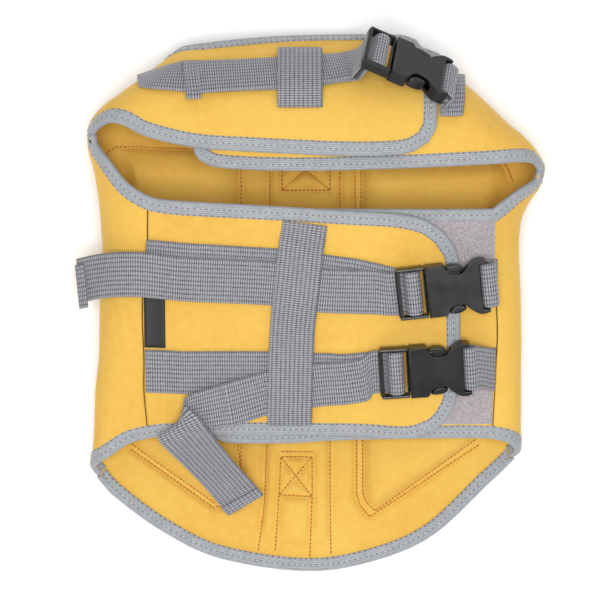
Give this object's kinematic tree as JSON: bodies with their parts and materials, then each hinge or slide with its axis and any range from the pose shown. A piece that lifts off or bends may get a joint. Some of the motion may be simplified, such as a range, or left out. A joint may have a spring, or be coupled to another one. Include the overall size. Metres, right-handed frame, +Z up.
{
  "type": "dog life jacket",
  "caption": "Closed dog life jacket lying on its back, belly side up: padded back panel, overlapping wings, bound edges, webbing straps and side-release buckles.",
  "frame": {"origin": "on the ground under the middle of the whole jacket", "axes": "+Y to the neck, +X to the jacket's buckled side, +Z up, out of the belly side"},
  "size_m": [0.2642, 0.308, 0.0828],
  "materials": {
    "neoprene": "yellow foam-backed jersey",
    "tape": "grey knitted edge tape",
    "webbing": "grey woven webbing",
    "acetal": "satin black",
    "loop": "grey brushed loop tape",
    "label": "bare black woven label"
  },
  "bodies": {
    "root": {"back_panel": "neoprene", "wing_belly_left": "neoprene", "wing_belly_right": "neoprene", "wing_chest_left": "neoprene", "wing_chest_right": "neoprene", "binding_belly_left": "tape", "binding_belly_right": "tape", "binding_chest_left": "tape", "binding_chest_right": "tape", "binding_tail": "tape", "binding_neck": "tape", "strap_upper": "webbing", "strap_lower": "webbing", "strap_chest": "webbing", "strap_back": "webbing", "keeper_belly": "webbing", "keeper_chest": "webbing", "anchor_upper": "webbing", "anchor_lower": "webbing", "anchor_chest": "webbing", "buckle_upper_male": "acetal", "buckle_upper_female": "acetal", "buckle_lower_male": "acetal", "buckle_lower_female": "acetal", "buckle_chest_male": "acetal", "buckle_chest_female": "acetal", "loop_patch_upper": "loop", "loop_patch_lower": "loop", "label": "label"}
  },
  "joints": []
}
